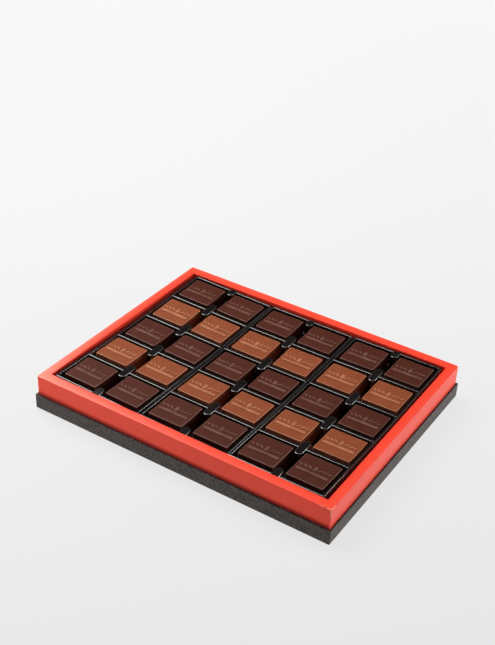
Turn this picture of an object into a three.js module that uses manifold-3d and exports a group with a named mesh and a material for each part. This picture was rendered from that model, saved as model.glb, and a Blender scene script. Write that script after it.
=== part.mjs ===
// An open gift box of thirty moulded chocolates. A low dark tray holds an orange-red frame with a
// wide flat rim. In the frame's recess stand three black formed trays, each with two columns of
// five chocolates and a finger channel between the columns. The rows alternate dark and milk.
// The recess panel gives a little under the weight, so the trays and chocolates lie lower towards
// the middle of the box, and no tray lies quite straight.
// Units are millimetres. X runs along the long side, Y away from the front, Z up, and the origin
// is on the ground under the middle of the box.
import * as THREE from 'three';
import { mergeVertices } from 'three/addons/utils/BufferGeometryUtils.js';
import Module from 'manifold-3d';

const wasm = await Module();
wasm.setup();

// ---- Driving dimensions -----------------------------------------------------------------------
const GAP = 0.3; // clearance between pieces that rest on or in each other

const FRAME_LENGTH = 246; // X, outside
const FRAME_DEPTH = 196; // Y, outside
const FRAME_TOP = 28; // height of the rim above the ground
const RIM_AT_ENDS = 7.0; // rim width along the two short sides
const RIM_AT_SIDES = 7.8; // rim width along the two long sides
const RECESS_FLOOR = 14.2; // height of the panel under the formed trays, at the walls
const CARD = 1.5; // thickness of the frame's board
const SAG_ACROSS = 1.5; // how much lower the panel's middle third lies than its two ends
const SAG_ALONG = 1.7; // and how much lower its middle lies than its front and back

const BASE_HEIGHT = 11.6;
const BASE_WALL = 1.3;
const BASE_FLOOR = 1.8;

const ROWS = 5;
const ROW_PITCH = 35.1;
const COLUMN_OFFSET = 19.1; // from a tray's middle line to the middle of its chocolates
const TRAY_LENGTH = 74.8; // X
const TRAY_DEPTH = 177.6; // Y
const TRAY_FLOOR = 1.0;
const RIDGE_HEIGHT = 12.9; // from the tray's underside to the top of its ridges
const SHOULDER = 0.4; // rounding of a ridge's top edges
const RIM_RIDGE_WIDTH = 1.7; // the ridge round the edge of each formed tray
const RIM_RIDGE_FOOT = 3.2;
const ROW_RIDGE_WIDTH = 2.2; // the ridge between two rows
const ROW_RIDGE_FOOT = 6.2;

const POST_WIDTH = 6.0; // X, of the round-ended posts in the finger channel, at the top
const POST_LENGTH = 17.0; // Y
const POST_DRAFT = 1.0; // how much wider each side of a post is at its foot
const POST_HEIGHT = 13.2;
const POST_EDGE = 0.6; // rounding of its top edge
const POST_ARC_STEPS = 3; // half the straight steps in each round end

const CHOCOLATE_LENGTH = 28.3; // X, at the top
const CHOCOLATE_DEPTH = 26.7; // Y, at the top
const CHOCOLATE_HEIGHT = 11.7;
const CHOCOLATE_DRAFT = 0.45; // how much wider each side is at its foot
const CHOCOLATE_EDGE = 0.35; // chamfer round the top face
const LOOSE_TURN = THREE.MathUtils.degToRad(0.8); // most that a chocolate lies askew
const LOOSE_SHIFT = 0.15; // most that it lies off the middle of its pocket
const LOOSE_SEED = 7;

const RELIEF_HEIGHT = 0.4;
const BAR_LENGTH = 24.4;
const BAR_WIDTH = 2.6;
const BAR_Y = -3.4; // middle of the bar, from the middle of the chocolate
const SPRIG_Y = 1.6; // middle of the sprig behind it
const POD_WIDTH = 3.4;
const POD_LENGTH = 6.6;
const LEAVES_PER_SIDE = 3;
const FIRST_LEAF_X = 4.2;
const LEAF_PITCH = 3.4;
const LEAF_LENGTH = 5.6;
const LEAF_SHRINK = 0.6; // how much shorter each next leaf is
const LEAF_WIDTH = 1.9;
const LEAF_TILT = THREE.MathUtils.degToRad(38);

// ---- Sizes that follow from them --------------------------------------------------------------
const FRAME_FOOT = BASE_FLOOR + GAP;
const RECESS_LENGTH = FRAME_LENGTH - 2 * RIM_AT_ENDS;
const RECESS_DEPTH = FRAME_DEPTH - 2 * RIM_AT_SIDES;
const TRAY_FOOT = RECESS_FLOOR + GAP;
const CHOCOLATE_FOOT = TRAY_FLOOR + GAP; // above the underside of its formed tray
const SUNK = TRAY_FLOOR / 2; // where ridges and posts start, inside the tray's floor
const TILT = Math.atan(SAG_ACROSS / (RECESS_LENGTH / 3)); // of the two outer trays

// How each formed tray lies: the place of its middle, and how far it is turned from square.
const TRAY_PLACES = [
  { x: -75.6, turn: THREE.MathUtils.degToRad(-0.6), tilt: TILT },
  { x: 0.3, turn: THREE.MathUtils.degToRad(-0.25), tilt: 0 },
  { x: 75.9, turn: THREE.MathUtils.degToRad(-0.5), tilt: -TILT },
];

// How far the panel and what stands on it lie below the height that they have at the walls.
const sagAcross = (x) => SAG_ACROSS * Math.min(1, 1.5 - Math.abs(x) / (RECESS_LENGTH / 3));
const WAVE = (2 * Math.PI) / RECESS_DEPTH;
const sagAlong = (y) => (SAG_ALONG * (1 + Math.cos(WAVE * y))) / 2;
const slopeAlong = (y) => (SAG_ALONG * WAVE * Math.sin(WAVE * y)) / 2;

// ---- Materials --------------------------------------------------------------------------------
const finish = (color, roughness) => new THREE.MeshStandardMaterial({ color, roughness, metalness: 0 });
const CHARCOAL_PAPER = finish('#46423f', 0.8);
const RED_PAPER = finish('#f04a35', 0.6);
const BLACK_PLASTIC = finish('#120c0c', 0.2);
const DARK_CHOCOLATE = finish('#4c2a24', 0.45);
const MILK_CHOCOLATE = finish('#96502f', 0.45);

// ---- Joining and cutting ----------------------------------------------------------------------
function toSolid(geometry) {
  const bare = geometry.clone();
  bare.deleteAttribute('normal');
  bare.deleteAttribute('uv');
  const merged = mergeVertices(bare, 1e-5);
  return new wasm.Manifold(new wasm.Mesh({
    numProp: 3,
    vertProperties: new Float32Array(merged.attributes.position.array),
    triVerts: new Uint32Array(merged.index.array),
  }));
}

function toGeometry(solid) {
  const { vertProperties, triVerts } = solid.getMesh();
  const indexed = new THREE.BufferGeometry();
  indexed.setAttribute('position', new THREE.BufferAttribute(vertProperties, 3));
  indexed.setIndex(new THREE.BufferAttribute(triVerts, 1));
  const geometry = indexed.toNonIndexed();
  geometry.computeVertexNormals();
  return geometry;
}

const join = (parts) => parts.map(toSolid).reduce((whole, part) => whole.add(part));

// ---- Outlines and simple forms ----------------------------------------------------------------
const rectangle = (length, depth) => [
  new THREE.Vector2(-length / 2, -depth / 2),
  new THREE.Vector2(length / 2, -depth / 2),
  new THREE.Vector2(length / 2, depth / 2),
  new THREE.Vector2(-length / 2, depth / 2),
];

// An outline with straight long sides and round ends, lying along Y.
function roundEnded(width, length) {
  const radius = width / 2;
  const reach = length / 2 - radius;
  const shape = new THREE.Shape();
  shape.absarc(0, reach, radius, 0, Math.PI);
  shape.absarc(0, -reach, radius, Math.PI, 2 * Math.PI);
  return shape.getPoints(POST_ARC_STEPS);
}

// A closed solid through level outlines, lowest first. The outlines are convex, run
// anticlockwise and have equally many corners.
function loft(levels) {
  const corners = levels[0].outline.length;
  const positions = levels.flatMap(({ outline, z }) => outline.flatMap(({ x, y }) => [x, y, z]));
  const triangles = [];
  for (let upper = corners; upper < corners * levels.length; upper += corners) {
    const lower = upper - corners;
    for (let i = 0; i < corners; i++) {
      const next = (i + 1) % corners;
      triangles.push(lower + i, lower + next, upper + next);
      triangles.push(lower + i, upper + next, upper + i);
    }
  }
  const top = corners * (levels.length - 1);
  for (let i = 1; i < corners - 1; i++) {
    triangles.push(0, i + 1, i);
    triangles.push(top, top + i, top + i + 1);
  }
  const geometry = new THREE.BufferGeometry();
  geometry.setAttribute('position', new THREE.Float32BufferAttribute(positions, 3));
  geometry.setIndex(triangles);
  return geometry;
}

const block = (length, depth, bottom, top) => loft([
  { outline: rectangle(length, depth), z: bottom },
  { outline: rectangle(length, depth), z: top },
]);

// The same form with every point lowered by what the given function says for its place.
function lowered(geometry, drop) {
  const { position } = geometry.attributes;
  for (let i = 0; i < position.count; i++) {
    position.setZ(i, position.getZ(i) - drop(position.getX(i), position.getY(i), position.getZ(i)));
  }
  return geometry;
}

const bent = (geometry) => lowered(geometry, (x, y) => sagAlong(y));

const rowMiddle = (row) => (row - (ROWS + 1) / 2) * ROW_PITCH;

// ---- Box --------------------------------------------------------------------------------------
function baseTray() {
  const length = FRAME_LENGTH + 2 * (GAP + BASE_WALL);
  const depth = FRAME_DEPTH + 2 * (GAP + BASE_WALL);
  const inside = block(length - 2 * BASE_WALL, depth - 2 * BASE_WALL, BASE_FLOOR, BASE_HEIGHT + 1);
  return toGeometry(toSolid(block(length, depth, 0, BASE_HEIGHT)).subtract(toSolid(inside)));
}

// A block whose underside follows the sagging panel.
function blockOverPanel(length, depth, bottom, top) {
  const height = top - bottom;
  const geometry = new THREE.BoxGeometry(length, depth, height, 6, 2 * ROWS, 1);
  geometry.translate(0, 0, bottom + height / 2);
  return lowered(geometry, (x, y, z) => (z < top ? sagAcross(x) + sagAlong(y) : 0));
}

// Folded board: outer walls, the flat rim, inner walls and the recess panel, open underneath.
function frame() {
  const whole = toSolid(block(FRAME_LENGTH, FRAME_DEPTH, FRAME_FOOT, FRAME_TOP));
  const recess = toSolid(blockOverPanel(RECESS_LENGTH, RECESS_DEPTH, RECESS_FLOOR, FRAME_TOP + 1));
  const lining = toSolid(blockOverPanel(
    RECESS_LENGTH + 2 * CARD, RECESS_DEPTH + 2 * CARD, RECESS_FLOOR - CARD, FRAME_TOP,
  ));
  const cavity = toSolid(block(
    FRAME_LENGTH - 2 * CARD, FRAME_DEPTH - 2 * CARD, FRAME_FOOT - 1, FRAME_TOP - CARD,
  ));
  return toGeometry(whole.subtract(recess).subtract(cavity.subtract(lining)));
}

// ---- Formed tray, built from its underside up -------------------------------------------------
function ridgeSection(left, right, footLeft, footRight) {
  return new THREE.Shape([
    new THREE.Vector2(footLeft, SUNK),
    new THREE.Vector2(footRight, SUNK),
    new THREE.Vector2(right, RIDGE_HEIGHT - SHOULDER),
    new THREE.Vector2(right - SHOULDER, RIDGE_HEIGHT),
    new THREE.Vector2(left + SHOULDER, RIDGE_HEIGHT),
    new THREE.Vector2(left, RIDGE_HEIGHT - SHOULDER),
  ]);
}

// A ridge along X at a given y. Its section is drawn with Y to the right and Z up.
function ridgeAcross(section, y) {
  const geometry = new THREE.ExtrudeGeometry(section, { depth: TRAY_LENGTH, bevelEnabled: false });
  geometry.translate(0, 0, -TRAY_LENGTH / 2);
  geometry.rotateY(Math.PI / 2);
  geometry.rotateX(Math.PI / 2);
  return bent(geometry.translate(0, y, 0));
}

// A ridge along Y at a given x. Its section is drawn with X to the right and Z up.
function ridgeAlong(section, x) {
  const geometry = new THREE.ExtrudeGeometry(
    section, { depth: TRAY_DEPTH, steps: 2 * ROWS, bevelEnabled: false },
  );
  geometry.rotateX(Math.PI / 2);
  return bent(geometry.translate(x, TRAY_DEPTH / 2, 0));
}

function post(y) {
  const outline = (extra) => roundEnded(POST_WIDTH + 2 * extra, POST_LENGTH + 2 * extra);
  return bent(loft([
    { outline: outline(POST_DRAFT), z: SUNK },
    { outline: outline(0), z: POST_HEIGHT - POST_EDGE },
    { outline: outline(-POST_EDGE), z: POST_HEIGHT },
  ]).translate(0, y, 0));
}

function formedTray() {
  const edgeX = TRAY_LENGTH / 2;
  const edgeY = TRAY_DEPTH / 2;
  const floor = new THREE.BoxGeometry(TRAY_LENGTH, TRAY_DEPTH, TRAY_FLOOR, 1, 2 * ROWS, 1);
  const fromLowEdge = ridgeSection(0, RIM_RIDGE_WIDTH, 0, RIM_RIDGE_FOOT);
  const fromHighEdge = ridgeSection(-RIM_RIDGE_WIDTH, 0, -RIM_RIDGE_FOOT, 0);
  const betweenRows = ridgeSection(
    -ROW_RIDGE_WIDTH / 2, ROW_RIDGE_WIDTH / 2, -ROW_RIDGE_FOOT / 2, ROW_RIDGE_FOOT / 2,
  );
  const parts = [
    bent(floor.translate(0, 0, TRAY_FLOOR / 2)),
    ridgeAlong(fromLowEdge, -edgeX),
    ridgeAlong(fromHighEdge, edgeX),
    ridgeAcross(fromLowEdge, -edgeY),
    ridgeAcross(fromHighEdge, edgeY),
    post(-edgeY),
    post(edgeY),
  ];
  for (let row = 1; row < ROWS; row++) {
    const boundary = rowMiddle(row) + ROW_PITCH / 2;
    parts.push(ridgeAcross(betweenRows, boundary), post(boundary));
  }
  const kept = block(TRAY_LENGTH, TRAY_DEPTH, -SAG_ALONG - 1, POST_HEIGHT + 1);
  return toGeometry(join(parts).intersect(toSolid(kept)));
}

// ---- Chocolate, built from its underside up ---------------------------------------------------
const raised = (outline) => loft([
  { outline, z: CHOCOLATE_HEIGHT - RELIEF_HEIGHT },
  { outline, z: CHOCOLATE_HEIGHT + RELIEF_HEIGHT },
]);

function leaf(index, side) {
  const half = (LEAF_LENGTH - index * LEAF_SHRINK) / 2;
  const outline = [
    new THREE.Vector2(half, 0),
    new THREE.Vector2(0, LEAF_WIDTH / 2),
    new THREE.Vector2(-half, 0),
    new THREE.Vector2(0, -LEAF_WIDTH / 2),
  ];
  return raised(outline)
    .rotateZ(side * LEAF_TILT)
    .translate(side * (FIRST_LEAF_X + index * LEAF_PITCH), SPRIG_Y, 0);
}

function pod() {
  const halfWidth = POD_WIDTH / 2;
  const halfLength = POD_LENGTH / 2;
  const outline = [0, 1, 2, 3, 4, 5, 6, 7].map((corner) => {
    const angle = (corner * Math.PI) / 4;
    return new THREE.Vector2(halfWidth * Math.cos(angle), halfLength * Math.sin(angle));
  });
  return raised(outline).translate(0, SPRIG_Y, 0);
}

function chocolate() {
  const outline = (extra) => rectangle(CHOCOLATE_LENGTH + 2 * extra, CHOCOLATE_DEPTH + 2 * extra);
  const body = loft([
    { outline: outline(CHOCOLATE_DRAFT), z: 0 },
    { outline: outline(0), z: CHOCOLATE_HEIGHT - CHOCOLATE_EDGE },
    { outline: outline(-CHOCOLATE_EDGE), z: CHOCOLATE_HEIGHT },
  ]);
  const bar = raised(rectangle(BAR_LENGTH, BAR_WIDTH)).translate(0, BAR_Y, 0);
  const relief = [bar, pod()];
  for (let index = 0; index < LEAVES_PER_SIDE; index++) {
    relief.push(leaf(index, 1), leaf(index, -1));
  }
  return toGeometry(join([body, ...relief]));
}

// ---- Whole box --------------------------------------------------------------------------------
const named = (name, geometry, material) => {
  const mesh = new THREE.Mesh(geometry, material);
  mesh.name = name;
  return mesh;
};

const loose = (most) => most * (2 * THREE.MathUtils.seededRandom() - 1);

// One chocolate in its pocket, placed from the middle of its formed tray's underside.
function placedChocolate(row, side, column, geometry) {
  const isDark = row % 2 === 1;
  const name = `${isDark ? 'dark' : 'milk'}_chocolate_row${row}_column${column}`;
  const piece = named(name, geometry, isDark ? DARK_CHOCOLATE : MILK_CHOCOLATE);
  const y = rowMiddle(row);
  piece.position.set(
    side * COLUMN_OFFSET + loose(LOOSE_SHIFT),
    y + loose(LOOSE_SHIFT),
    CHOCOLATE_FOOT - sagAlong(y),
  );
  piece.rotation.set(Math.atan(slopeAlong(y)), 0, loose(LOOSE_TURN));
  return piece;
}

// One formed tray with the ten chocolates that stand in it.
function filledTray(trayNumber, { x, turn, tilt }, trayGeometry, chocolateGeometry) {
  const filled = new THREE.Group();
  filled.add(named(`formed_tray_${trayNumber}`, trayGeometry, BLACK_PLASTIC));
  for (let row = 1; row <= ROWS; row++) {
    filled.add(placedChocolate(row, -1, 2 * trayNumber - 1, chocolateGeometry));
    filled.add(placedChocolate(row, 1, 2 * trayNumber, chocolateGeometry));
  }
  filled.position.set(x, 0, TRAY_FOOT - sagAcross(x));
  filled.rotation.set(0, tilt, turn);
  return filled;
}

const box = new THREE.Group();
box.add(named('base_tray', baseTray(), CHARCOAL_PAPER));
box.add(named('frame', frame(), RED_PAPER));

THREE.MathUtils.seededRandom(LOOSE_SEED);
const trayGeometry = formedTray();
const chocolateGeometry = chocolate();
TRAY_PLACES.forEach((place, index) => {
  box.add(filledTray(index + 1, place, trayGeometry, chocolateGeometry));
});

export default box;
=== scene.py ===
"""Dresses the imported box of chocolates: wrapped board, glossy formed trays, moulded chocolates."""

import math

import bpy
import numpy as np
from mathutils import Matrix, Vector


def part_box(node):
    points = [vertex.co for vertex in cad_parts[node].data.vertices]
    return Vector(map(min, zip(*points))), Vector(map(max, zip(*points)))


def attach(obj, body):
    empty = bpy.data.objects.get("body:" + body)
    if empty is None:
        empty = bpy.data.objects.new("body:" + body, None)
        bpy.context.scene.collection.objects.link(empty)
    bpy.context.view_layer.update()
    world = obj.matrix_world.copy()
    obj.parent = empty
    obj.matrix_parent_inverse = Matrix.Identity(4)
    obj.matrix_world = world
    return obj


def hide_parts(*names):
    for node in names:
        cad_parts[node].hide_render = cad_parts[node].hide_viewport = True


bl_info = {
    "name": "Box of Chocolates",
    "version": (1, 0, 0),
    "blender": (4, 5, 0),
    "location": "3D View > Sidebar > Chocolates",
    "description": "Wrapped box, formed trays and moulded chocolates on their fixed frame",
    "category": "Object",
}

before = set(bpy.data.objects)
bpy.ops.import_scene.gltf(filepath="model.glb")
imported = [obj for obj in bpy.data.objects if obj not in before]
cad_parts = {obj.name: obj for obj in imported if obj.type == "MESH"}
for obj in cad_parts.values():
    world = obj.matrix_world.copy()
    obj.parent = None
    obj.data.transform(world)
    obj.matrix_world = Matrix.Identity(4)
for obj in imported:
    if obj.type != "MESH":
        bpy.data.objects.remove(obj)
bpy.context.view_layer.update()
TRAY_NODES = sorted(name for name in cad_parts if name.startswith("formed_tray"))
CHOCOLATE_NODES = sorted(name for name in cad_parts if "_chocolate_row" in name)
SUPPORT = 0.00012  # distance of the extra row of points that keeps a flat face flat beside a fold
ARC_STEPS = 5  # straight pieces in a rounded fold, and in a quarter turn of a round corner
ARC_SHARE = 0.49  # share of the shorter side beside a fold that its arc may take up
SHARP_ANGLE = math.radians(40)  # faces that meet at a larger angle keep a sharp edge
DOWNWARD = -0.9  # faces whose normal's Z lies below this make up a node's underside
CORNER_SIGNS = ((-1, -1), (1, -1), (1, 1), (-1, 1))  # a rectangle's corners, anticlockwise
PANEL_SHARES = (0.0, 0.12, 0.25, 0.4, 0.55, 0.7, 0.85, 0.94)  # rings of the sagging panel
RELIEF_SUNK = 0.0002  # how far the relief's foot lies below a chocolate's top


# ---- Settings ----
def length(name, description, millimetres):
    """A length that the user can change, given in millimetres."""
    return bpy.props.FloatProperty(
        name=name, description=description, default=millimetres / 1000, min=0.0,
        unit="LENGTH", subtype="DISTANCE", precision=5,
    )


def colour(name, description, red, green, blue):
    """A linear colour that the user can change."""
    return bpy.props.FloatVectorProperty(
        name=name, description=description, default=(red, green, blue), size=3,
        min=0.0, max=1.0, subtype="COLOR",
    )


class WrappedBoardSettings(bpy.types.PropertyGroup):
    """Sizes and colours of the two wrapped board parts."""

    base_wall: length("Base wall", "Thickness of the base tray's walls", 1.3)
    base_floor: length("Base floor", "Thickness of the base tray's floor", 1.8)
    rim_at_ends: length("Rim at the ends", "Width of the rim along the short sides", 7.0)
    rim_at_sides: length("Rim at the sides", "Width of the rim along the long sides", 7.8)
    board: length("Board", "Thickness of the frame's board", 1.5)
    panel_height: length("Panel height", "Height of the recess panel at the walls", 14.2)
    sag_across: length("Sag across", "How much lower the panel's middle third lies", 1.5)
    sag_along: length("Sag along", "How much lower the panel's middle lies than its front", 1.7)
    fold_radius: length("Fold radius", "Rounding where the paper folds over an edge", 0.4)
    corner_radius: length("Corner radius", "Rounding of the upright corners", 0.7)
    # between these heights the frame's sides get a painted shade, darkest at the lower one
    painted_shade_low: length("Deepest shade", "Height where the frame's sides are darkest", 13.0)
    painted_shade_high: length("End of shade", "Height above which the frame's sides are unshaded", 15.7)
    red: colour("Red paper", "Colour of the frame's paper", 0.90, 0.034, 0.005)
    charcoal: colour("Charcoal paper", "Colour of the base tray's paper", 0.036, 0.027, 0.0225)


class FormedTraySettings(bpy.types.PropertyGroup):
    """Sizes and colour of the three formed trays."""

    rows: bpy.props.IntProperty(name="Rows", description="Rows of pockets", default=5, min=1)
    row_pitch: length("Row pitch", "Distance from row to row", 35.1)
    sheet_floor: length("Floor", "Height of the pockets' floor", 1.0)
    ridge_height: length("Ridge height", "Height of the ridges", 12.9)
    rim_ridge_width: length("Rim ridge width", "Width of the ridge round the edge", 1.7)
    rim_ridge_foot: length("Rim ridge foot", "Width of that ridge at its foot", 3.2)
    row_ridge_width: length("Row ridge width", "Width of the ridges between rows", 2.2)
    row_ridge_foot: length("Row ridge foot", "Width of those ridges at their foot", 6.2)
    post_width: length("Post width", "Width of the posts between the columns", 6.0)
    post_length: length("Post length", "Length of the posts between the columns", 17.0)
    post_draft: length("Post draft", "How much wider a post is at its foot", 1.0)
    post_height: length("Post height", "Height of the posts", 13.2)
    row_rounding: length("Row rounding", "Rounding along the tops of the row ridges", 0.95)
    rim_rounding: length("Rim rounding", "Rounding along the top of the rim ridge", 0.45)
    post_rounding: length("Post rounding", "Rounding round the posts' tops", 0.6)
    corner_radius: length("Corner radius", "Rounding of the tray's corners", 1.1)
    black: colour("Black plastic", "Colour of the formed sheet", 0.006, 0.0045, 0.0045)


class ChocolateSettings(bpy.types.PropertyGroup):
    """Sizes and colours of the moulded chocolates."""

    size_x: length("Length", "Size of the top along the box", 28.3)
    size_y: length("Depth", "Size of the top across the box", 26.7)
    height: length("Height", "Height without the relief", 11.7)
    draft: length("Draft", "How much wider each side is at the foot", 0.45)
    rounding: length("Rounding", "Rounding of the top edges", 0.38)
    corner_radius: length("Corner radius", "Rounding of the upright corners", 0.8)
    relief_height: length("Relief height", "Height of the bar and sprig", 0.4)
    bar_length: length("Bar length", "Length of the raised bar", 24.4)
    bar_width: length("Bar width", "Width of the raised bar", 2.6)
    bar_forward: length("Bar place", "How far the bar lies in front of the middle", 3.4)
    sprig_back: length("Sprig place", "How far the sprig lies behind the middle", 1.6)
    pod_width: length("Pod width", "Width of the pod in the sprig", 3.4)
    pod_length: length("Pod length", "Length of the pod in the sprig", 6.6)
    leaves: bpy.props.IntProperty(
        name="Leaves", description="Leaves on each side of the pod", default=3, min=0
    )
    first_leaf: length("First leaf", "Distance of the first leaf from the pod", 4.2)
    leaf_pitch: length("Leaf pitch", "Distance from leaf to leaf", 3.4)
    leaf_length: length("Leaf length", "Length of the first leaf", 5.6)
    leaf_shrink: length("Leaf shrink", "How much shorter each next leaf is", 0.6)
    leaf_width: length("Leaf width", "Width of a leaf", 1.9)
    leaf_tilt: bpy.props.FloatProperty(
        name="Leaf tilt", description="How far the leaves lean up from the bar",
        default=math.radians(38), subtype="ANGLE",
    )
    dark: colour("Dark chocolate", "Colour of the dark pieces", 0.070, 0.0172, 0.0098)
    milk: colour("Milk chocolate", "Colour of the milk pieces", 0.234, 0.060, 0.0236)


# ---- Outlines, folds and lofted shells ----
def rounded_section(corners):
    """An open line through (x, z, radius) corners, with arcs in place of those with a radius.

    Gives (x, z, fold) points, where fold is 1 on the arcs and 0 on the straights.
    """
    points = []
    for index, (x, z, radius) in enumerate(corners):
        here = np.array((x, z))
        if radius == 0 or index in (0, len(corners) - 1):
            points.append((x, z, 0.0))
            continue
        before = np.array(corners[index - 1][:2]) - here
        after = np.array(corners[index + 1][:2]) - here
        room = min(np.linalg.norm(before), np.linalg.norm(after)) * ARC_SHARE
        before /= np.linalg.norm(before)
        after /= np.linalg.norm(after)
        half_angle = math.acos(max(-1.0, min(1.0, float(before @ after)))) / 2
        reach = min(radius / math.tan(half_angle), room - SUPPORT)
        turn = reach * math.tan(half_angle)
        inward = (before + after) / np.linalg.norm(before + after)
        centre = here + inward * turn / math.sin(half_angle)
        start = here + before * reach - centre
        end = here + after * reach - centre
        angle = math.pi - 2 * half_angle
        points.append((*(here + before * (reach + SUPPORT)), 0.0))
        for step in range(ARC_STEPS + 1):
            blend = step / ARC_STEPS
            weight_start = math.sin((1 - blend) * angle) / math.sin(angle)
            weight_end = math.sin(blend * angle) / math.sin(angle)
            points.append((*(centre + start * weight_start + end * weight_end), 1.0))
        points.append((*(here + after * (reach + SUPPORT)), 0.0))
    return points


def rounded_outline(half_x, half_y, radius, cuts_x, cuts_y):
    """An anticlockwise outline as (x, y, corner) points, where corner is 1 on the round corners.

    cuts_x and cuts_y are the pieces that the sides along X and along Y are cut into.
    """
    radius = min(radius, half_x / 2, half_y / 2)
    points = []
    for sign_x, sign_y, start in ((1, -1, -90), (1, 1, 0), (-1, 1, 90), (-1, -1, 180)):
        centre = (sign_x * (half_x - radius), sign_y * (half_y - radius))
        arc = []
        for step in range(ARC_STEPS + 1):
            angle = math.radians(start + 90 * step / ARC_STEPS)
            arc.append((centre[0] + radius * math.cos(angle),
                        centre[1] + radius * math.sin(angle), 1.0))
        first, last = math.radians(start + 90), math.radians(start + 180)
        lead_in = (arc[0][0] - SUPPORT * math.cos(first), arc[0][1] - SUPPORT * math.sin(first))
        lead_out = (arc[-1][0] + SUPPORT * math.cos(last), arc[-1][1] + SUPPORT * math.sin(last))
        points += [(*lead_in, 0.0), *arc, (*lead_out, 0.0)]
        along_x = start in (0, 180)
        cuts = cuts_x if along_x else cuts_y
        span_x = 2 * (half_x - radius - SUPPORT) * (-sign_x if along_x else 0)
        span_y = 2 * (half_y - radius - SUPPORT) * (0 if along_x else -sign_y)
        for cut in range(1, cuts):
            share = cut / cuts
            points.append((lead_out[0] + span_x * share, lead_out[1] + span_y * share, 0.0))
    return points


def stadium_outline(width, whole_length, segments=10):
    """An anticlockwise outline of (x, y) points with straight sides along Y and round ends."""
    radius, reach = width / 2, whole_length / 2 - width / 2
    points = []
    for centre_y, start in ((reach, 0.0), (-reach, math.pi)):
        for step in range(segments + 1):
            angle = start + math.pi * step / segments
            points.append((radius * math.cos(angle), centre_y + radius * math.sin(angle)))
    return points


def write_attribute(mesh, name, values):
    """Adds an attribute with one number for each point."""
    data = mesh.attributes.new(name, "FLOAT", "POINT").data
    data.foreach_set("value", np.array(values, np.float32))


class Shell:
    """Gathers closed forms, and turns them into one smooth mesh with a fold attribute."""

    def __init__(self):
        self.points, self.faces, self.folds = [], [], []

    def loft(self, rings):
        """Adds a closed form through rings of (x, y, z, fold) points, from its underside up."""
        base, count = len(self.points), len(rings[0])
        for ring in rings:
            self.points += [point[:3] for point in ring]
            self.folds += [point[3] for point in ring]
        for level in range(len(rings) - 1):
            lower, upper = base + level * count, base + (level + 1) * count
            for index in range(count):
                after = (index + 1) % count
                self.faces.append((lower + index, lower + after, upper + after, upper + index))
        top = base + (len(rings) - 1) * count
        self.faces.append(tuple(base + index for index in reversed(range(count))))
        self.faces.append(tuple(top + index for index in range(count)))

    def add_mesh(self, mesh, place=None):
        """Adds a copy of a mesh's points and faces."""
        base = len(self.points)
        for vertex in mesh.vertices:
            self.points.append(tuple(place @ vertex.co if place else vertex.co))
            self.folds.append(0.0)
        self.faces += [tuple(base + i for i in face.vertices) for face in mesh.polygons]

    def shaped(self, change):
        """Replaces every point by what change gives for it."""
        self.points = [tuple(change(*point)) for point in self.points]
        return self

    def mesh(self, name, matrix=None):
        """The gathered forms as a mesh, moved into place."""
        mesh = bpy.data.meshes.new(name)
        points = self.points
        if matrix is not None:
            points = [tuple(matrix @ Vector(point)) for point in points]
        mesh.from_pydata(points, [], self.faces)
        write_attribute(mesh, "fold", self.folds)
        mesh.shade_smooth()
        mesh.set_sharp_from_angle(angle=SHARP_ANGLE)
        return mesh


def shell_rings(half_x, half_y, section_x, section_y, radius, cuts=(12, 10), sag=None):
    """Rings round a rectangle, one for each point of a section that starts and ends at its middle.

    The two sections hold (inset, z, fold) points for the short and the long sides. radius is a
    function of the inset. sag(x, y) lowers the points whose fold is negative, which lie on a panel.
    """
    rings = []
    last = len(section_x) - 1
    for index, ((inset_x, z, fold), (inset_y, _, _)) in enumerate(zip(section_x, section_y)):
        before, after = section_x[max(0, index - 1)], section_x[min(last, index + 1)]
        upright = abs(after[1] - before[1]) > abs(after[0] - before[0])
        outline = rounded_outline(half_x - inset_x, half_y - inset_y, radius(inset_x), *cuts)
        rings.append([
            (x, y, z - (sag(x, y) if sag and fold < 0 else 0),
             max(fold, corner if upright else 0.0, 0.0))
            for x, y, corner in outline
        ])
    return rings


def flat_panel(edge, middle, steps, z, outwards=False):
    """Section points of a flat panel's rings, from its edge to near its middle or outwards."""
    points = [(edge + (middle - edge) * (step / steps), z, 0.0) for step in range(1, steps + 1)]
    return points[::-1] if outwards else points


def board_corners(outside, inside, skin=0.001):
    """Upright corners as a function of the inset: one radius in the outer skin, one within it."""
    return lambda inset: outside if inset < skin else inside


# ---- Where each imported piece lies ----
def underside_of(node):
    """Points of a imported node's underside, in the row frame."""
    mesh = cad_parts[node].data
    chosen = {i for face in mesh.polygons if face.normal.z < DOWNWARD for i in face.vertices}
    return np.array([mesh.vertices[i].co for i in sorted(chosen)])


def seat_of(node):
    """The matrix that carries a piece from its own place, standing on its origin, to its node."""
    points = underside_of(node)
    corners = [points[np.argmax(points @ np.array((*signs, 0.0)))] for signs in CORNER_SIGNS]
    front_left, front_right, back_right, back_left = (Vector(corner) for corner in corners)
    x_axis = ((front_right - front_left) + (back_right - back_left)).normalized()
    across = (back_left - front_left) + (back_right - front_right)
    z_axis = x_axis.cross(across).normalized()
    y_axis = z_axis.cross(x_axis)
    seat = Matrix((x_axis, y_axis, z_axis)).transposed().to_4x4()
    seat.translation = (front_left + front_right + back_right + back_left) / 4
    return seat


def in_scene(name, data):
    """A new object in the scene, at the origin."""
    made = bpy.data.objects.new(name, data)
    bpy.context.scene.collection.objects.link(made)
    return made


def finished(mesh, name, node):
    """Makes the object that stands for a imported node, at the origin and riding on the root."""
    piece = in_scene(name, mesh)
    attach(piece, "root")
    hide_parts(node)


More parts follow.
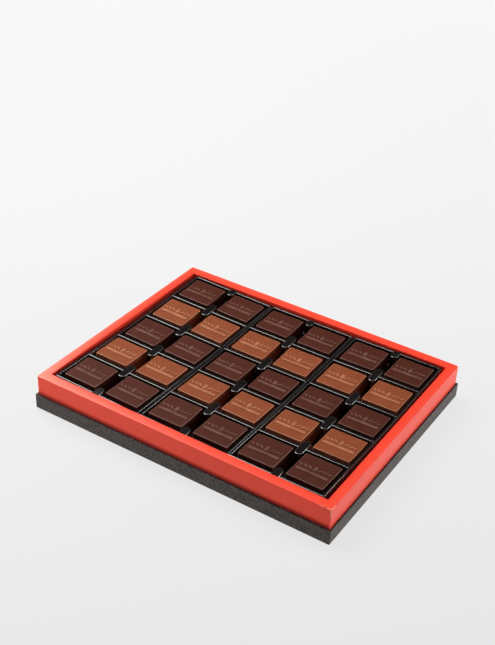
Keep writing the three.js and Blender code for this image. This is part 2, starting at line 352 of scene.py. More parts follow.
# ---- Shader groups ----
class Wiring:
    """Adds nodes to a node tree and links them by plain socket names."""

    def __init__(self, tree):
        self.tree = tree
        self.tree.nodes.clear()

    def node(self, kind, inputs=None, **settings):
        """A new node with its settings and its inputs, given by name."""
        node = self.tree.nodes.new(kind)
        for name, value in settings.items():
            setattr(node, name, value)
        for name, value in (inputs or {}).items():
            self.feed(node.inputs[name], value)
        return node

    def feed(self, socket, value):
        """Links a socket to another node's output, or sets its value."""
        if isinstance(value, bpy.types.NodeSocket):
            self.tree.links.new(value, socket)
        else:
            socket.default_value = value

    def math(self, operation, first, second=0.0, clamp=False):
        """The result of one sum on two numbers."""
        node = self.node("ShaderNodeMath", operation=operation, use_clamp=clamp)
        self.feed(node.inputs[0], first)
        self.feed(node.inputs[1], second)
        return node.outputs[0]

    def times(self, first, second):
        """The product of two numbers."""
        return self.math("MULTIPLY", first, second)

    def vector(self, x=0.0, y=0.0, z=0.0):
        """A vector from its three parts."""
        return self.node("ShaderNodeCombineXYZ", {"X": x, "Y": y, "Z": z}).outputs["Vector"]

    def height(self, vector):
        """The Z part of a vector."""
        return self.node("ShaderNodeSeparateXYZ", {"Vector": vector}).outputs["Z"]

    def along(self, vector, way):
        """How far a vector reaches along a fixed way."""
        node = self.node("ShaderNodeVectorMath", operation="DOT_PRODUCT")
        self.feed(node.inputs[0], vector)
        self.feed(node.inputs[1], way)
        return node.outputs["Value"]

    def ramp(self, value, low, high, low_out=0.0, high_out=1.0):
        """A number carried from one range to another, and held at the ends."""
        node = self.node("ShaderNodeMapRange", {
            "Value": value, "From Min": low, "From Max": high,
            "To Min": low_out, "To Max": high_out,
        })
        return node.outputs["Result"]

    def noise(self, vector, scale, detail, roughness):
        """Cloudy noise between 0 and 1."""
        node = self.node("ShaderNodeTexNoise", {
            "Vector": vector, "Scale": scale, "Detail": detail, "Roughness": roughness,
        })
        return node.outputs["Fac"]

    def mix(self, share, first, second):
        """A colour between two others."""
        first_colour, second_colour, mixed_colour = 6, 7, 2  # its colour sockets share their names
        node = self.node("ShaderNodeMix", data_type="RGBA")
        self.feed(node.inputs["Factor"], share)
        self.feed(node.inputs[first_colour], first)
        self.feed(node.inputs[second_colour], second)
        return node.outputs[mixed_colour]


def shader_group(name, inputs, outputs):
    """A new shader group that reads a vector and named floats and gives floats, and its wiring."""
    tree = bpy.data.node_groups.new(name, "ShaderNodeTree")
    tree.interface.new_socket("Vector", in_out="INPUT", socket_type="NodeSocketVector")
    for socket_name, default in inputs.items():
        socket = tree.interface.new_socket(
            socket_name, in_out="INPUT", socket_type="NodeSocketFloat"
        )
        socket.default_value = default
    for socket_name in outputs:
        tree.interface.new_socket(socket_name, in_out="OUTPUT", socket_type="NodeSocketFloat")
    wiring = Wiring(tree)
    return tree, wiring, wiring.node("NodeGroupInput").outputs, wiring.node("NodeGroupOutput")


def surface_grain_group():
    """Fine grain and slow mottle over a surface: fibres in paper, or the skin of chocolate."""
    tree, wiring, given, result = shader_group(
        "Surface Grain", {"Grain Size": 0.0004, "Mottle Size": 0.01}, ["Grain", "Mottle"]
    )
    for output, size, detail, roughness in (
        ("Grain", "Grain Size", 4.0, 0.6), ("Mottle", "Mottle Size", 2.0, 0.5),
    ):
        scale = wiring.math("DIVIDE", 1.0, given[size])
        noise = wiring.noise(given["Vector"], scale, detail, roughness)
        wiring.feed(result.inputs[output], noise)
    return tree


def edge_wear_group():
    """Broken wear along folds and edges, from the piece's fold attribute."""
    tree, wiring, given, result = shader_group(
        "Edge Wear", {"Fold": 0.0, "Patch Size": 0.006, "Reach": 0.5}, ["Wear"]
    )
    detail, roughness, crispness = 4.0, 0.65, 6.0
    scale = wiring.math("DIVIDE", 1.0, given["Patch Size"])
    patches = wiring.noise(given["Vector"], scale, detail, roughness)
    threshold = wiring.math("SUBTRACT", 1.0, given["Reach"])
    above = wiring.math("SUBTRACT", patches, threshold)
    broken = wiring.math("MULTIPLY", above, crispness, clamp=True)
    wiring.feed(result.inputs["Wear"], wiring.times(broken, given["Fold"]))
    return tree


# ---- Materials ----
class Finish(Wiring):
    """A material in the making, with its shader and the place that every finish reads."""

    def __init__(self, name, constants):
        self.material = bpy.data.materials.new(name)
        self.material.use_nodes = True
        super().__init__(self.material.node_tree)
        output = self.node("ShaderNodeOutputMaterial")
        self.shader = self.node("ShaderNodeBsdfPrincipled", constants)
        self.feed(output.inputs["Surface"], self.shader.outputs["BSDF"])
        self.place = self.node("ShaderNodeTexCoord").outputs["Object"]

    def drive(self, socket, value):
        """Lets a value that differs over the surface feed one of the shader's inputs."""
        self.feed(self.shader.inputs[socket], value)

    def attribute(self, name):
        """A mask that the piece's mesh holds."""
        return self.node("ShaderNodeAttribute", attribute_name=name).outputs["Fac"]

    def shared(self, name, build, inputs):
        """The outputs of a shared shader group, which is built the first time it is asked for."""
        node = self.node("ShaderNodeGroup")
        node.node_tree = bpy.data.node_groups.get(name) or build()
        for socket, value in {"Vector": self.place, **inputs}.items():
            self.feed(node.inputs[socket], value)
        return node.outputs

    def grain(self, grain_size, mottle_size):
        """Fine grain and slow mottle, as two masks."""
        masks = self.shared("Surface Grain", surface_grain_group, {
            "Grain Size": grain_size, "Mottle Size": mottle_size,
        })
        return masks["Grain"], masks["Mottle"]

    def wear(self, patch_size, reach):
        """A mask of broken patches along the folds."""
        masks = self.shared("Edge Wear", edge_wear_group, {
            "Fold": self.attribute("fold"), "Patch Size": patch_size, "Reach": reach,
        })
        return masks["Wear"]

    def bump(self, height, distance):
        """Makes the surface uneven."""
        bump = self.node("ShaderNodeBump", {"Height": height, "Distance": distance})
        self.drive("Normal", bump.outputs["Normal"])


def rgba(linear, factor):
    """A colour with alpha, made lighter or darker."""
    return (*(min(1.0, channel * factor) for channel in linear), 1.0)


def red_paper(settings):
    """Satin red paper: a painted shade low on its sides, deeper along its folds, and paler towards
    the left front with wear and painted sheen.
    """
    finish = Finish("red_paper", {
        "Roughness": 0.38, "Specular IOR Level": 0.4, "Specular Tint": (1.0, 0.85, 0.7, 1.0),
        "Sheen Weight": 0.22, "Sheen Roughness": 0.5, "Sheen Tint": (1.0, 0.92, 0.85, 1.0),
    })
    red = settings.red
    # the first colour is the painted shade low on the sides; the second is the deeper red along the
    # folds
    painted_shade_colour, folded = (red[0] * 0.3, 0.002, 0.002, 1.0), (red[0], 0.012, 0.010, 1.0)
    # pale is the tone of wear and painted sheen on the rim towards the left front; bare is worn
    # paper at the corners
    pale, bare = (1.0, 0.55, 0.42, 1.0), (0.95, 0.48, 0.36, 1.0)
    fold_share, wear_and_sheen_share, bare_share = 0.5, 0.36, 0.6  # how far each tone covers the paper
    falloff, painted_shade_roughness, patch_size, tooth = 1.5, 0.7, 0.005, 0.000012
    grain, mottle = finish.grain(grain_size=0.00035, mottle_size=0.02)
    body = finish.mix(finish.ramp(mottle, 0.3, 0.7), rgba(red, 0.96), rgba(red, 1.04))
    # painted shade: darker low on the frame's sides, where the base tray shades them, and rougher
    # there
    low = finish.ramp(finish.height(finish.place), settings.painted_shade_low, settings.painted_shade_high, 1.0, 0.0)
    painted_shade = finish.times(finish.attribute("shade"), low)
    shaded = finish.mix(painted_shade, body, painted_shade_colour)
    creased = finish.mix(finish.times(finish.attribute("fold"), fold_share), shaded, folded)
    # wear and painted sheen: the rim paler towards its left front corner and along its outer edge
    wear_and_sheen = finish.math("POWER", finish.attribute("wear_and_sheen"), falloff)
    with_wear_and_sheen = finish.mix(finish.times(wear_and_sheen, wear_and_sheen_share), creased, pale)
    reach = finish.ramp(finish.attribute("corner"), 0.0, 1.0, low_out=0.24, high_out=0.75)
    wear = finish.wear(patch_size, reach)
    finish.drive("Base Color", finish.mix(finish.times(wear, bare_share), with_wear_and_sheen, bare))
    uneven = finish.ramp(grain, 0.3, 0.7, low_out=0.34, high_out=0.42)
    finish.drive("Roughness", finish.math("ADD", finish.times(painted_shade, painted_shade_roughness), uneven))
    finish.bump(grain, tooth)
    return finish.material


def charcoal_paper(settings):
    """Matt charcoal paper with a fine tooth, greyer along its edges."""
    finish = Finish("charcoal_paper", {
        "Roughness": 0.5, "Specular IOR Level": 0.3,
        "Sheen Weight": 0.2, "Sheen Roughness": 0.5, "Sheen Tint": (1.0, 0.9, 0.82, 1.0),
    })
    charcoal = settings.charcoal
    grey, grey_share, patch_size, reach, tooth = (0.14, 0.13, 0.12, 1.0), 0.35, 0.004, 0.55, 0.001
    grain, mottle = finish.grain(grain_size=0.0018, mottle_size=0.006)
    body = finish.mix(finish.ramp(grain, 0.42, 0.58), rgba(charcoal, 0.1), rgba(charcoal, 1.9))
    paler = finish.ramp(mottle, 0.35, 0.7, low_out=0.0, high_out=0.25)
    tinted = finish.mix(paler, body, rgba(charcoal, 1.4))
    wear = finish.times(finish.wear(patch_size, reach), grey_share)
    finish.drive("Base Color", finish.mix(wear, tinted, grey))
    finish.drive("Roughness", finish.ramp(grain, 0.3, 0.7, low_out=0.42, high_out=0.6))
    finish.bump(grain, tooth)
    return finish.material


def black_plastic(settings):
    """Thin glossy black sheet with faint ripples and finger smudges."""
    finish = Finish("black_plastic", {
        "Roughness": 0.12, "Specular IOR Level": 1.0, "Coat Weight": 1.0,
    })
    black, ripple_depth = settings.black, 0.00003
    ripple, smudge = finish.grain(grain_size=0.012, mottle_size=0.025)
    body = finish.mix(finish.ramp(smudge, 0.35, 0.7), rgba(black, 0.8), rgba(black, 1.5))
    finish.drive("Base Color", body)
    finish.drive("Roughness", finish.ramp(smudge, 0.35, 0.75, low_out=0.09, high_out=0.2))
    finish.bump(ripple, ripple_depth)
    return finish.material


def chocolate_finish(name, body_colour, scuffed_and_highlight):
    """Satin moulded chocolate, paler on its relief, worn in patches along its edges and painted
    lighter along every top edge as a highlight.
    """
    finish = Finish(name, {
        "Roughness": 0.42, "Specular IOR Level": 0.09, "Coat Roughness": 0.28,
    })
    patch_size, reach, patch_share, edge_highlight_share, edge_gloss = 0.003, 0.7, 0.35, 0.5, 0.4
    skin_depth = 0.00002
    grain, mottle = finish.grain(grain_size=0.0006, mottle_size=0.009)
    body = finish.mix(
        finish.ramp(mottle, 0.3, 0.7), rgba(body_colour, 0.93), rgba(body_colour, 1.07)
    )
    uneven = finish.ramp(mottle, 0.35, 0.65, low_out=0.45, high_out=0.8)
    lifted = finish.mix(finish.times(finish.attribute("raised"), uneven), body, scuffed_and_highlight)
    fold = finish.attribute("fold")
    # worn patches, plus a painted highlight along every fold of the top edges
    wear = finish.math("ADD", finish.times(finish.wear(patch_size, reach), patch_share),
                       finish.times(fold, edge_highlight_share))
    finish.drive("Base Color", finish.mix(wear, lifted, scuffed_and_highlight))
    finish.drive("Coat Weight", finish.times(fold, edge_gloss))
    finish.drive("Roughness", finish.ramp(grain, 0.3, 0.7, low_out=0.37, high_out=0.48))
    finish.bump(grain, skin_depth)
    return finish.material


# ---- Geometry node trees ----
def geometry_tree(name, floats, count):
    """A new geometry tree that reads a count, named floats and a material, and its wiring."""
    tree = bpy.data.node_groups.new(name, "GeometryNodeTree")
    tree.is_modifier = True
    kinds = {"Geometry": "NodeSocketGeometry", count: "NodeSocketInt"}
    kinds.update({socket: "NodeSocketFloat" for socket in floats})
    kinds["Material"] = "NodeSocketMaterial"
    for socket, kind in kinds.items():
        tree.interface.new_socket(socket, in_out="INPUT", socket_type=kind)
    tree.interface.new_socket("Geometry", in_out="OUTPUT", socket_type="NodeSocketGeometry")
    wiring = Wiring(tree)
    return tree, wiring, wiring.node("NodeGroupInput").outputs, wiring.node("NodeGroupOutput")


def end_tree(wiring, given, result, geometry):
    """Ends a tree in real geometry with its material set."""
    real = wiring.node("GeometryNodeRealizeInstances", {"Geometry": geometry})
    painted = wiring.node("GeometryNodeSetMaterial", {
        "Geometry": real.outputs["Geometry"], "Material": given["Material"],
    })
    wiring.feed(result.inputs["Geometry"], painted.outputs["Geometry"])


def placed_in_line(wiring, count, start, offset, instances):
    """Instances of a geometry on a straight line of points."""
    line = wiring.node("GeometryNodeMeshLine", {
        "Count": count, "Start Location": start, "Offset": offset,
    })
    placed = wiring.node("GeometryNodeInstanceOnPoints", {
        "Points": line.outputs["Mesh"], **instances,
    })
    return placed.outputs["Instances"]


def row_repeat_tree():
    """Repeats the piece that it is given along Y, once for each boundary between two rows."""
    tree, wiring, given, result = geometry_tree("Rows of Ridges", ["Pitch"], "Count")
    count, pitch = given["Count"], given["Pitch"]
    reach = wiring.times(wiring.math("SUBTRACT", count, 1.0), -0.5)
    start = wiring.vector(y=wiring.times(reach, pitch))
    rows = placed_in_line(wiring, count, start, wiring.vector(y=pitch), {
        "Instance": given["Geometry"],
    })
    end_tree(wiring, given, result, rows)
    return tree


def blunt_cone(wiring, corners, taper):
    """A low cone with a flat top, one unit high, whose top is taper times as wide as its foot."""
    cone = wiring.node("GeometryNodeMeshCone", {
        "Vertices": corners, "Radius Top": taper, "Radius Bottom": 1.0, "Depth": 1.0,
    })
    return cone.outputs["Mesh"]


def sprig_tree():
    """A pod with a row of leaning leaves on each side of it, each leaf shorter than the last."""
    tree, wiring, given, result = geometry_tree("Pod and Leaves", [
        "First Leaf", "Leaf Pitch", "Leaf Length", "Leaf Shrink", "Leaf Width", "Leaf Tilt",
        "Pod Width", "Pod Length", "Height",
    ], "Leaves")
    joined = wiring.node("GeometryNodeJoinGeometry")

    def sized(width, depth):
        return wiring.vector(wiring.times(width, 0.5), wiring.times(depth, 0.5), given["Height"])

    index = wiring.node("GeometryNodeInputIndex").outputs["Index"]
    shorter = wiring.times(index, given["Leaf Shrink"])
    leaf_length = wiring.math("SUBTRACT", given["Leaf Length"], shorter)
    leaf_size = sized(leaf_length, given["Leaf Width"])
    leaf = blunt_cone(wiring, 12, 0.72)
    for side in (1, -1):
        start = wiring.vector(x=wiring.times(given["First Leaf"], side))
        offset = wiring.vector(x=wiring.times(given["Leaf Pitch"], side))
        lean = wiring.vector(z=wiring.times(given["Leaf Tilt"], side))
        leaves = placed_in_line(wiring, given["Leaves"], start, offset, {
            "Instance": leaf, "Rotation": lean, "Scale": leaf_size,
        })
        wiring.feed(joined.inputs["Geometry"], leaves)
    pod = wiring.node("GeometryNodeTransform", {
        "Geometry": blunt_cone(wiring, 20, 0.78),
        "Scale": sized(given["Pod Width"], given["Pod Length"]),
    })
    wiring.feed(joined.inputs["Geometry"], pod.outputs["Geometry"])
    end_tree(wiring, given, result, joined.outputs["Geometry"])
    return tree


def grown(tree, start_mesh, values):
    """Runs a geometry tree once on a mesh, and gives the plain mesh that it makes."""
    carrier = in_scene("carrier", start_mesh)
    modifier = carrier.modifiers.new("grow", "NODES")
    modifier.node_group = tree
    for socket in tree.interface.items_tree:
        if socket.item_type == "SOCKET" and socket.in_out == "INPUT" and socket.name in values:
            modifier[socket.identifier] = values[socket.name]
    evaluated = carrier.evaluated_get(bpy.context.evaluated_depsgraph_get())
    mesh = bpy.data.meshes.new_from_object(evaluated)
    carrier.modifiers.remove(modifier)
    bpy.data.objects.remove(carrier)
    return mesh


# ---- Operators ----
class CHOCOLATES_OT_base_tray(bpy.types.Operator):
    """Makes the low outer tray, wrapped in charcoal paper"""

    bl_idname = "chocolates.base_tray"
    bl_label = "Base Tray"

    def execute(self, context):
        board = context.scene.wrapped_board
        _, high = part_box("base_tray")
        half_x, half_y, top = high.x, high.y, high.z
        foot_fold, top_fold, inner_corner = board.fold_radius * 0.7, board.fold_radius * 0.8, 0.0003
        edge, middle, steps = 0.002, 0.09, 3  # insets of the flat panels' rings, and how many
        wall, floor = board.base_wall, board.base_floor
        section = flat_panel(edge, middle, steps, 0.0, outwards=True)
        section += rounded_section([
            (edge, 0.0, 0), (0.0, 0.0, foot_fold), (0.0, top, top_fold),
            (wall, top, top_fold), (wall, floor, 0),
        ])
        section += flat_panel(wall, middle, steps, floor)
        shell = Shell()
        shell.loft(shell_rings(half_x, half_y, section, section,
                               board_corners(board.corner_radius, inner_corner)))
        mesh = shell.mesh("base_tray_wrapped")
        mesh.materials.append(charcoal_paper(board))
        finished(mesh, "base_tray_wrapped", "base_tray")
        return {"FINISHED"}


class CHOCOLATES_OT_frame(bpy.types.Operator):
    """Makes the frame of folded board with its flat rim and recess, wrapped in red paper"""

    bl_idname = "chocolates.frame"
    bl_label = "Frame"

    def section(self, board, foot, top, rim, half_recess):
        """The line from the panel's underside, round the wall and over the rim, to its top."""
        card, fold, panel = board.board, board.fold_radius, board.panel_height
        under_edge = rim - card
        hidden_wall, above_panel = 0.004, 0.0005  # heights of the walls' ends at the panel
        under = [(under_edge + (half_recess + card) * share, panel - card, -1.0)
                 for share in reversed(PANEL_SHARES)]
        walls = rounded_section([
            (under_edge, top - card - hidden_wall, 0), (under_edge, top - card, 0),
            (card, top - card, 0), (card, foot, 0), (0.0, foot, 0),
            (0.0, top, fold), (rim, top, fold), (rim, panel + above_panel, 0),
        ])
        inside = [(rim + half_recess * share, panel, -1.0) for share in PANEL_SHARES]
        return under + walls + inside

    def mark_paper(self, mesh, half_x, half_y, top):
        """Writes where the paper gets painted shade, wear with painted sheen, and corner wear, from
        where each point lies.
        """
        corner_reach = 0.006  # distance from an outer corner over which the wear falls away
        rim_reach, edge_reach = 0.032, 0.12  # the same for the wear and painted sheen, on the rim and on its edge
        edge_width, edge_least = 0.001, 0.12  # the rim's outer edge, and the least wear and painted sheen on it
        long_shade, short_shade = 0.8, 0.06  # painted shade low on the long and on the short sides
        marks = {"corner": [], "wear_and_sheen": [], "shade": []}
        for x, y, z in (vertex.co for vertex in mesh.vertices):
            distance = math.hypot(half_x - abs(x), half_y - abs(y), 2 * (top - z))
            marks["corner"].append(math.exp(-distance / corner_reach))
            marks["shade"].append(long_shade if abs(y) > half_y - SUPPORT else short_shade)
            held = math.hypot(half_x + x, half_y + y)  # distance from the left front corner, where the wear and painted sheen are strongest
            # the rim and its outer edge get wear with a painted sheen, strongest near the left front
            # corner
            if z <= top - SUPPORT:
                wear_and_sheen = 0.0
            elif max(abs(x) - half_x, abs(y) - half_y) > -edge_width:
                wear_and_sheen = edge_least + (1 - edge_least) * math.exp(-held / edge_reach)
            else:
                wear_and_sheen = math.exp(-held / rim_reach)
            marks["wear_and_sheen"].append(wear_and_sheen)
        for name, values in marks.items():
            write_attribute(mesh, name, values)

    def execute(self, context):
        board = context.scene.wrapped_board
        low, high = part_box("frame")
        half_x, half_y, foot, top = high.x, high.y, low.z, high.z
        recess_x, recess_y = half_x - board.rim_at_ends, half_y - board.rim_at_sides
        third = 2 * recess_x / 3
        inner_corner = 0.0004

        def sag(x, y):
            """How far the panel lies below its height at the walls."""
            across = board.sag_across * max(0.0, min(1.0, 1.5 - abs(x) / third))
            return across + board.sag_along * (1 + math.cos(math.pi * y / recess_y)) / 2

        shell = Shell()
        shell.loft(shell_rings(
            half_x, half_y,
            self.section(board, foot, top, board.rim_at_ends, recess_x),
            self.section(board, foot, top, board.rim_at_sides, recess_y),
            board_corners(board.corner_radius, inner_corner), cuts=(18, 16), sag=sag,
        ))
        mesh = shell.mesh("frame_wrapped")
        self.mark_paper(mesh, half_x, half_y, top)
        mesh.materials.append(red_paper(board))
        finished(mesh, "frame_wrapped", "frame")
        return {"FINISHED"}


class CHOCOLATES_OT_formed_trays(bpy.types.Operator):
    """Makes the three formed trays with their ridges and posts"""

    bl_idname = "chocolates.formed_trays"
    bl_label = "Formed Trays"

    def post(self, tray, shell, y=0.0):
        """A round-ended post between the columns, widest at its foot."""
        top_inset = tray.post_width * 0.4  # how far the rings reach in over the flat top
        section = rounded_section([
            (tray.post_draft, tray.sheet_floor / 2, 0), (0.0, tray.post_height, tray.post_rounding),
            (-top_inset, tray.post_height, 0),
        ])
        rings = []
        for extra, z, _ in section:
            outline = stadium_outline(tray.post_width + 2 * extra, tray.post_length + 2 * extra)
            rings.append([(x, y + along, z, 0.0) for x, along in outline])
        shell.loft(rings)

    def ridge(self, tray, shell, half_x):
        """One ridge between two rows, from wall to wall."""
        half_top, half_foot = tray.row_ridge_width / 2, tray.row_ridge_foot / 2
        side = rounded_section([
            (half_foot, tray.sheet_floor / 2, 0), (half_top, tray.ridge_height, tray.row_rounding),
            (0.0, tray.ridge_height, 0),
        ])
        section = side + [(-y, z, fold) for y, z, fold in reversed(side[:-1])]
        shell.loft([[(x, y, z, 0.0) for y, z, _ in section] for x in (-half_x, half_x)])

    def sheet(self, tray, half_x, half_y):
        """The tray without its ridges and posts: its rim ridge and its floor."""
        edge, floor_edge, middle, steps = 0.002, 0.006, 0.03, 2  # insets of the panels' rings
        foot_rounding, floor_rounding, least_corner, corner_draft = 0.0003, 0.0008, 0.0004, 0.3
        floor, ridge = tray.sheet_floor, tray.ridge_height
        section = flat_panel(edge, middle, steps, 0.0, outwards=True)
        section += rounded_section([
            (edge, 0.0, 0), (0.0, 0.0, foot_rounding), (0.0, ridge, tray.rim_rounding),
            (tray.rim_ridge_width, ridge, tray.rim_rounding),
            (tray.rim_ridge_foot, floor, floor_rounding), (floor_edge, floor, 0),
        ])
        section += flat_panel(floor_edge, middle, steps, floor)
        shell = Shell()
        shell.loft(shell_rings(
            half_x, half_y, section, section,
            lambda inset: max(least_corner, tray.corner_radius - inset * corner_draft),
            cuts=(2, 40),
        ))
        return shell

    def tray_shell(self, tray, seat, node, material):
        """One whole tray in its own place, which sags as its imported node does."""
        points = np.array([seat.inverted() @ Vector(p) for p in underside_of(node)])
        half_x, half_y, sag_depth = points[:, 0].max(), points[:, 1].max(), -points[:, 2].min()
        overlap, limit = tray.rim_ridge_width * 0.6, half_y - 0.00001
        wave = math.pi / (half_y + 0.0014)  # the panel's sag ends at the recess's wall
        shell = self.sheet(tray, half_x, half_y)
        repeat = Shell()
        self.ridge(tray, repeat, half_x - overlap)
        self.post(tray, repeat)
        rows = grown(row_repeat_tree(), repeat.mesh("ridge_and_post"), {
            "Count": tray.rows - 1, "Pitch": tray.row_pitch, "Material": material,
        })
        shell.add_mesh(rows)
        for sign in (1, -1):
            ends = Shell()
            self.post(tray, ends, sign * half_y)
            ends.shaped(lambda x, y, z: (x, max(-limit, min(limit, y)), z))
            shell.add_mesh(ends.mesh("end_post"))
        return shell.shaped(
            lambda x, y, z: (x, y, z - sag_depth * (1 + math.cos(wave * y)) / 2)
        )

    def execute(self, context):
        tray = context.scene.formed_tray
        material = black_plastic(tray)
        for number, node in enumerate(TRAY_NODES, 1):
            seat = seat_of(node)
            mesh = self.tray_shell(tray, seat, node, material).mesh(f"tray_{number}_sheet", seat)
            mesh.materials.append(material)
            finished(mesh, f"tray_{number}_sheet", node)
        return {"FINISHED"}


class CHOCOLATES_OT_chocolates(bpy.types.Operator):
    """Makes the thirty moulded chocolates with the bar and sprig on their tops"""

    bl_idname = "chocolates.chocolates"
    bl_label = "Chocolates"

    def body(self, piece, shell):
        """The moulded block, a little wider at its foot."""
        half_x = piece.size_x / 2 + piece.draft
        half_y = piece.size_y / 2 + piece.draft
        edge, foot_rounding = 0.004, 0.0003
        section = rounded_section([
            (edge, 0.0, 0), (0.0, 0.0, foot_rounding),
            (piece.draft, piece.height, piece.rounding), (edge, piece.height, 0),
        ])
        shell.loft(shell_rings(half_x, half_y, section, section,
                               lambda inset: piece.corner_radius, cuts=(1, 1)))

    def bar(self, piece, shell):
        """The plain raised bar in front of the sprig."""
        half_x, half_y = piece.bar_length / 2, piece.bar_width / 2
        top = piece.height + piece.relief_height
        draft, rounding, edge, corner = 0.0001, 0.00015, 0.0008, 0.0003
        section = rounded_section([
            (0.0, piece.height - RELIEF_SUNK, 0), (draft, top, rounding), (edge, top, 0),
        ])
        rings = shell_rings(half_x, half_y, section, section, lambda inset: corner, cuts=(1, 1))
        shell.loft([[(x, y - piece.bar_forward, z, 0.0) for x, y, z, _ in r] for r in rings])

    def master(self, piece, material):
        """One chocolate, standing on the origin, and a mask of what is raised on its top."""
        shell = Shell()
        self.body(piece, shell)
        relief_start = len(shell.points)
        self.bar(piece, shell)
        sprig = grown(sprig_tree(), bpy.data.meshes.new("seed"), {
            "Leaves": piece.leaves, "First Leaf": piece.first_leaf,
            "Leaf Pitch": piece.leaf_pitch, "Leaf Length": piece.leaf_length,
            "Leaf Shrink": piece.leaf_shrink, "Leaf Width": piece.leaf_width,
            "Leaf Tilt": piece.leaf_tilt, "Pod Width": piece.pod_width,
            "Pod Length": piece.pod_length, "Height": piece.relief_height + RELIEF_SUNK,
            "Material": material,
        })
        lowest = min(vertex.co.z for vertex in sprig.vertices)
        lift = piece.height - RELIEF_SUNK - lowest
        shell.add_mesh(sprig, Matrix.Translation((0.0, piece.sprig_back, lift)))
        least = piece.height + RELIEF_SUNK / 2
        raised = [
            1.0 if index >= relief_start and point[2] > least else 0.0
            for index, point in enumerate(shell.points)
        ]
        return shell, raised

    def execute(self, context):
        piece = context.scene.chocolate
        # paler tones for the relief, the worn patches and the painted edge highlight
        dark_scuffed_and_highlight, milk_scuffed_and_highlight = (0.175, 0.085, 0.065, 1), (0.46, 0.19, 0.10, 1)
        finishes = {
            "dark": chocolate_finish("dark_chocolate", piece.dark, dark_scuffed_and_highlight),
            "milk": chocolate_finish("milk_chocolate", piece.milk, milk_scuffed_and_highlight),
        }
        shell, raised = self.master(piece, finishes["dark"])
        for node in CHOCOLATE_NODES:
            kind = node.split("_")[0]
            name = node.replace("chocolate", "moulded")
            mesh = shell.mesh(name, seat_of(node))
            write_attribute(mesh, "raised", raised)
            mesh.materials.append(finishes[kind])
            finished(mesh, name, node)
        return {"FINISHED"}


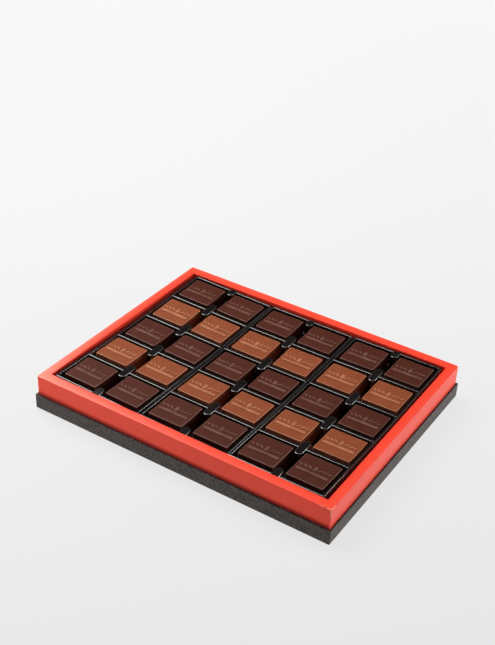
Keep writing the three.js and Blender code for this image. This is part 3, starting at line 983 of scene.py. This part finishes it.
class CHOCOLATES_OT_stage(bpy.types.Operator):
    """Sets up the pale floor, the soft studio light and the camera"""

    bl_idname = "chocolates.stage"
    bl_label = "Stage"

    def floor(self):
        """A wide pale floor just below the box, which glows more towards the left back."""
        reach, below = 6.0, -0.00005
        mesh = bpy.data.meshes.new("floor")
        mesh.from_pydata([(x * reach, y * reach, below) for x, y in CORNER_SIGNS],
                         [], [(0, 1, 2, 3)])
        finish = Finish("pale_floor", {
            "Roughness": 0.7, "Specular IOR Level": 0.1, "Emission Strength": 1.0,
        })
        _, mottle = finish.grain(grain_size=0.01, mottle_size=0.6)
        darker, lighter = (0.078, 0.078, 0.078, 1), (0.082, 0.082, 0.082, 1)
        finish.drive("Base Color", finish.mix(mottle, darker, lighter))
        left_back = finish.along(finish.place, (-0.6, 0.8, 0.0))
        glow = finish.ramp(left_back, -0.3, 1.2, low_out=0.71, high_out=0.93)
        finish.drive("Emission Color", glow)
        mesh.materials.append(finish.material)
        in_scene("floor", mesh)

    def softbox(self, name, bearing, rise, distance, size, radiance):
        """A square light, placed by its bearing from +Y towards -X and its rise in degrees."""
        light = bpy.data.lights.new(name, "AREA")
        light.shape, light.size = "SQUARE", size
        light.energy = radiance * math.pi * size * size
        lamp = in_scene(name, light)
        a, e = math.radians(bearing), math.radians(rise)
        way = Vector((-math.sin(a) * math.cos(e), math.cos(a) * math.cos(e), math.sin(e)))
        lamp.location = way * distance
        lamp.rotation_euler = way.to_track_quat("Z", "Y").to_euler()

    def studio_world(self):
        """A dim room with a pale band round the horizon, palest behind the box."""
        world = bpy.data.worlds.new("studio")
        world.use_nodes = True
        wiring = Wiring(world.node_tree)
        output = wiring.node("ShaderNodeOutputWorld")
        way = wiring.node("ShaderNodeTexCoord").outputs["Generated"]
        behind, band_light, room_light = (-0.17, 0.98, 0.0), 0.6, 0.035
        low = wiring.ramp(wiring.height(way), 0.06, 0.30, low_out=1.0, high_out=0.0)
        back = wiring.ramp(wiring.along(way, behind), 0.70, 0.94, low_out=0.1, high_out=1.0)
        band = wiring.times(wiring.times(low, back), band_light)
        strength = wiring.math("ADD", band, room_light)
        background = wiring.node("ShaderNodeBackground", {"Strength": strength})
        wiring.feed(output.inputs["Surface"], background.outputs["Background"])
        return world

    def camera(self):
        """The camera at the photograph's viewing angle, from the right of the front."""
        bearing, rise, roll = (math.radians(degrees) for degrees in (31.36, 33.06, 2.86))
        aim, away = Vector((-0.0607, 0.0898, 0.0)), 0.9474
        data = bpy.data.cameras.new("camera")
        data.lens, data.sensor_width = 63.32, 36.0
        back = Vector((math.sin(bearing) * math.cos(rise),
                       -math.cos(bearing) * math.cos(rise), math.sin(rise)))
        right = Vector((0, 0, 1)).cross(back).normalized()
        up = back.cross(right)
        level = math.cos(roll) * right + math.sin(roll) * up
        upright = -math.sin(roll) * right + math.cos(roll) * up
        camera = in_scene("camera", data)
        matrix = Matrix((level, upright, back)).transposed().to_4x4()
        matrix.translation = aim + back * away
        camera.matrix_world = matrix
        bpy.context.scene.camera = camera

    def execute(self, context):
        self.floor()
        context.scene.world = self.studio_world()
        # each with its bearing, rise, distance, size and radiance
        self.softbox("left_above", 78, 58, 0.95, 0.6, 8.6)
        self.softbox("back_above", -15, 75, 1.1, 0.6, 2.4)
        self.softbox("back_right", -24, 40, 1.2, 0.4, 1.2)
        self.softbox("left_front", 133, 16, 0.6, 0.3, 3.5)
        self.softbox("right", -61, 8, 1.3, 0.6, 11.0)
        self.camera()
        context.scene.view_settings.view_transform = "Standard"
        return {"FINISHED"}


class CHOCOLATES_PT_panel(bpy.types.Panel):
    """Lists the pieces of the box of chocolates"""

    bl_label = "Box of Chocolates"
    bl_idname = "CHOCOLATES_PT_panel"
    bl_space_type = "VIEW_3D"
    bl_region_type = "UI"
    bl_category = "Chocolates"

    def draw(self, context):
        for operator in OPERATORS:
            self.layout.operator(operator.bl_idname)
        for group in SETTINGS:
            box = self.layout.box()
            settings = getattr(context.scene, group)
            for name in settings.__annotations__:
                box.prop(settings, name)


SETTINGS = {
    "wrapped_board": WrappedBoardSettings,
    "formed_tray": FormedTraySettings,
    "chocolate": ChocolateSettings,
}
OPERATORS = (
    CHOCOLATES_OT_base_tray,
    CHOCOLATES_OT_frame,
    CHOCOLATES_OT_formed_trays,
    CHOCOLATES_OT_chocolates,
    CHOCOLATES_OT_stage,
)
CLASSES = (*SETTINGS.values(), *OPERATORS, CHOCOLATES_PT_panel)


def register():
    """Registers the settings, operators and panel."""
    for item in CLASSES:
        bpy.utils.register_class(item)
    for name, group in SETTINGS.items():
        setattr(bpy.types.Scene, name, bpy.props.PointerProperty(type=group))


def unregister():
    """Takes the settings, operators and panel out again."""
    for name in SETTINGS:
        delattr(bpy.types.Scene, name)
    for item in reversed(CLASSES):
        bpy.utils.unregister_class(item)


def main():
    """Makes every piece and the stage."""
    register()
    bpy.ops.chocolates.base_tray()
    bpy.ops.chocolates.frame()
    bpy.ops.chocolates.formed_trays()
    bpy.ops.chocolates.chocolates()
    bpy.ops.chocolates.stage()


if __name__ == "__main__":
    main()
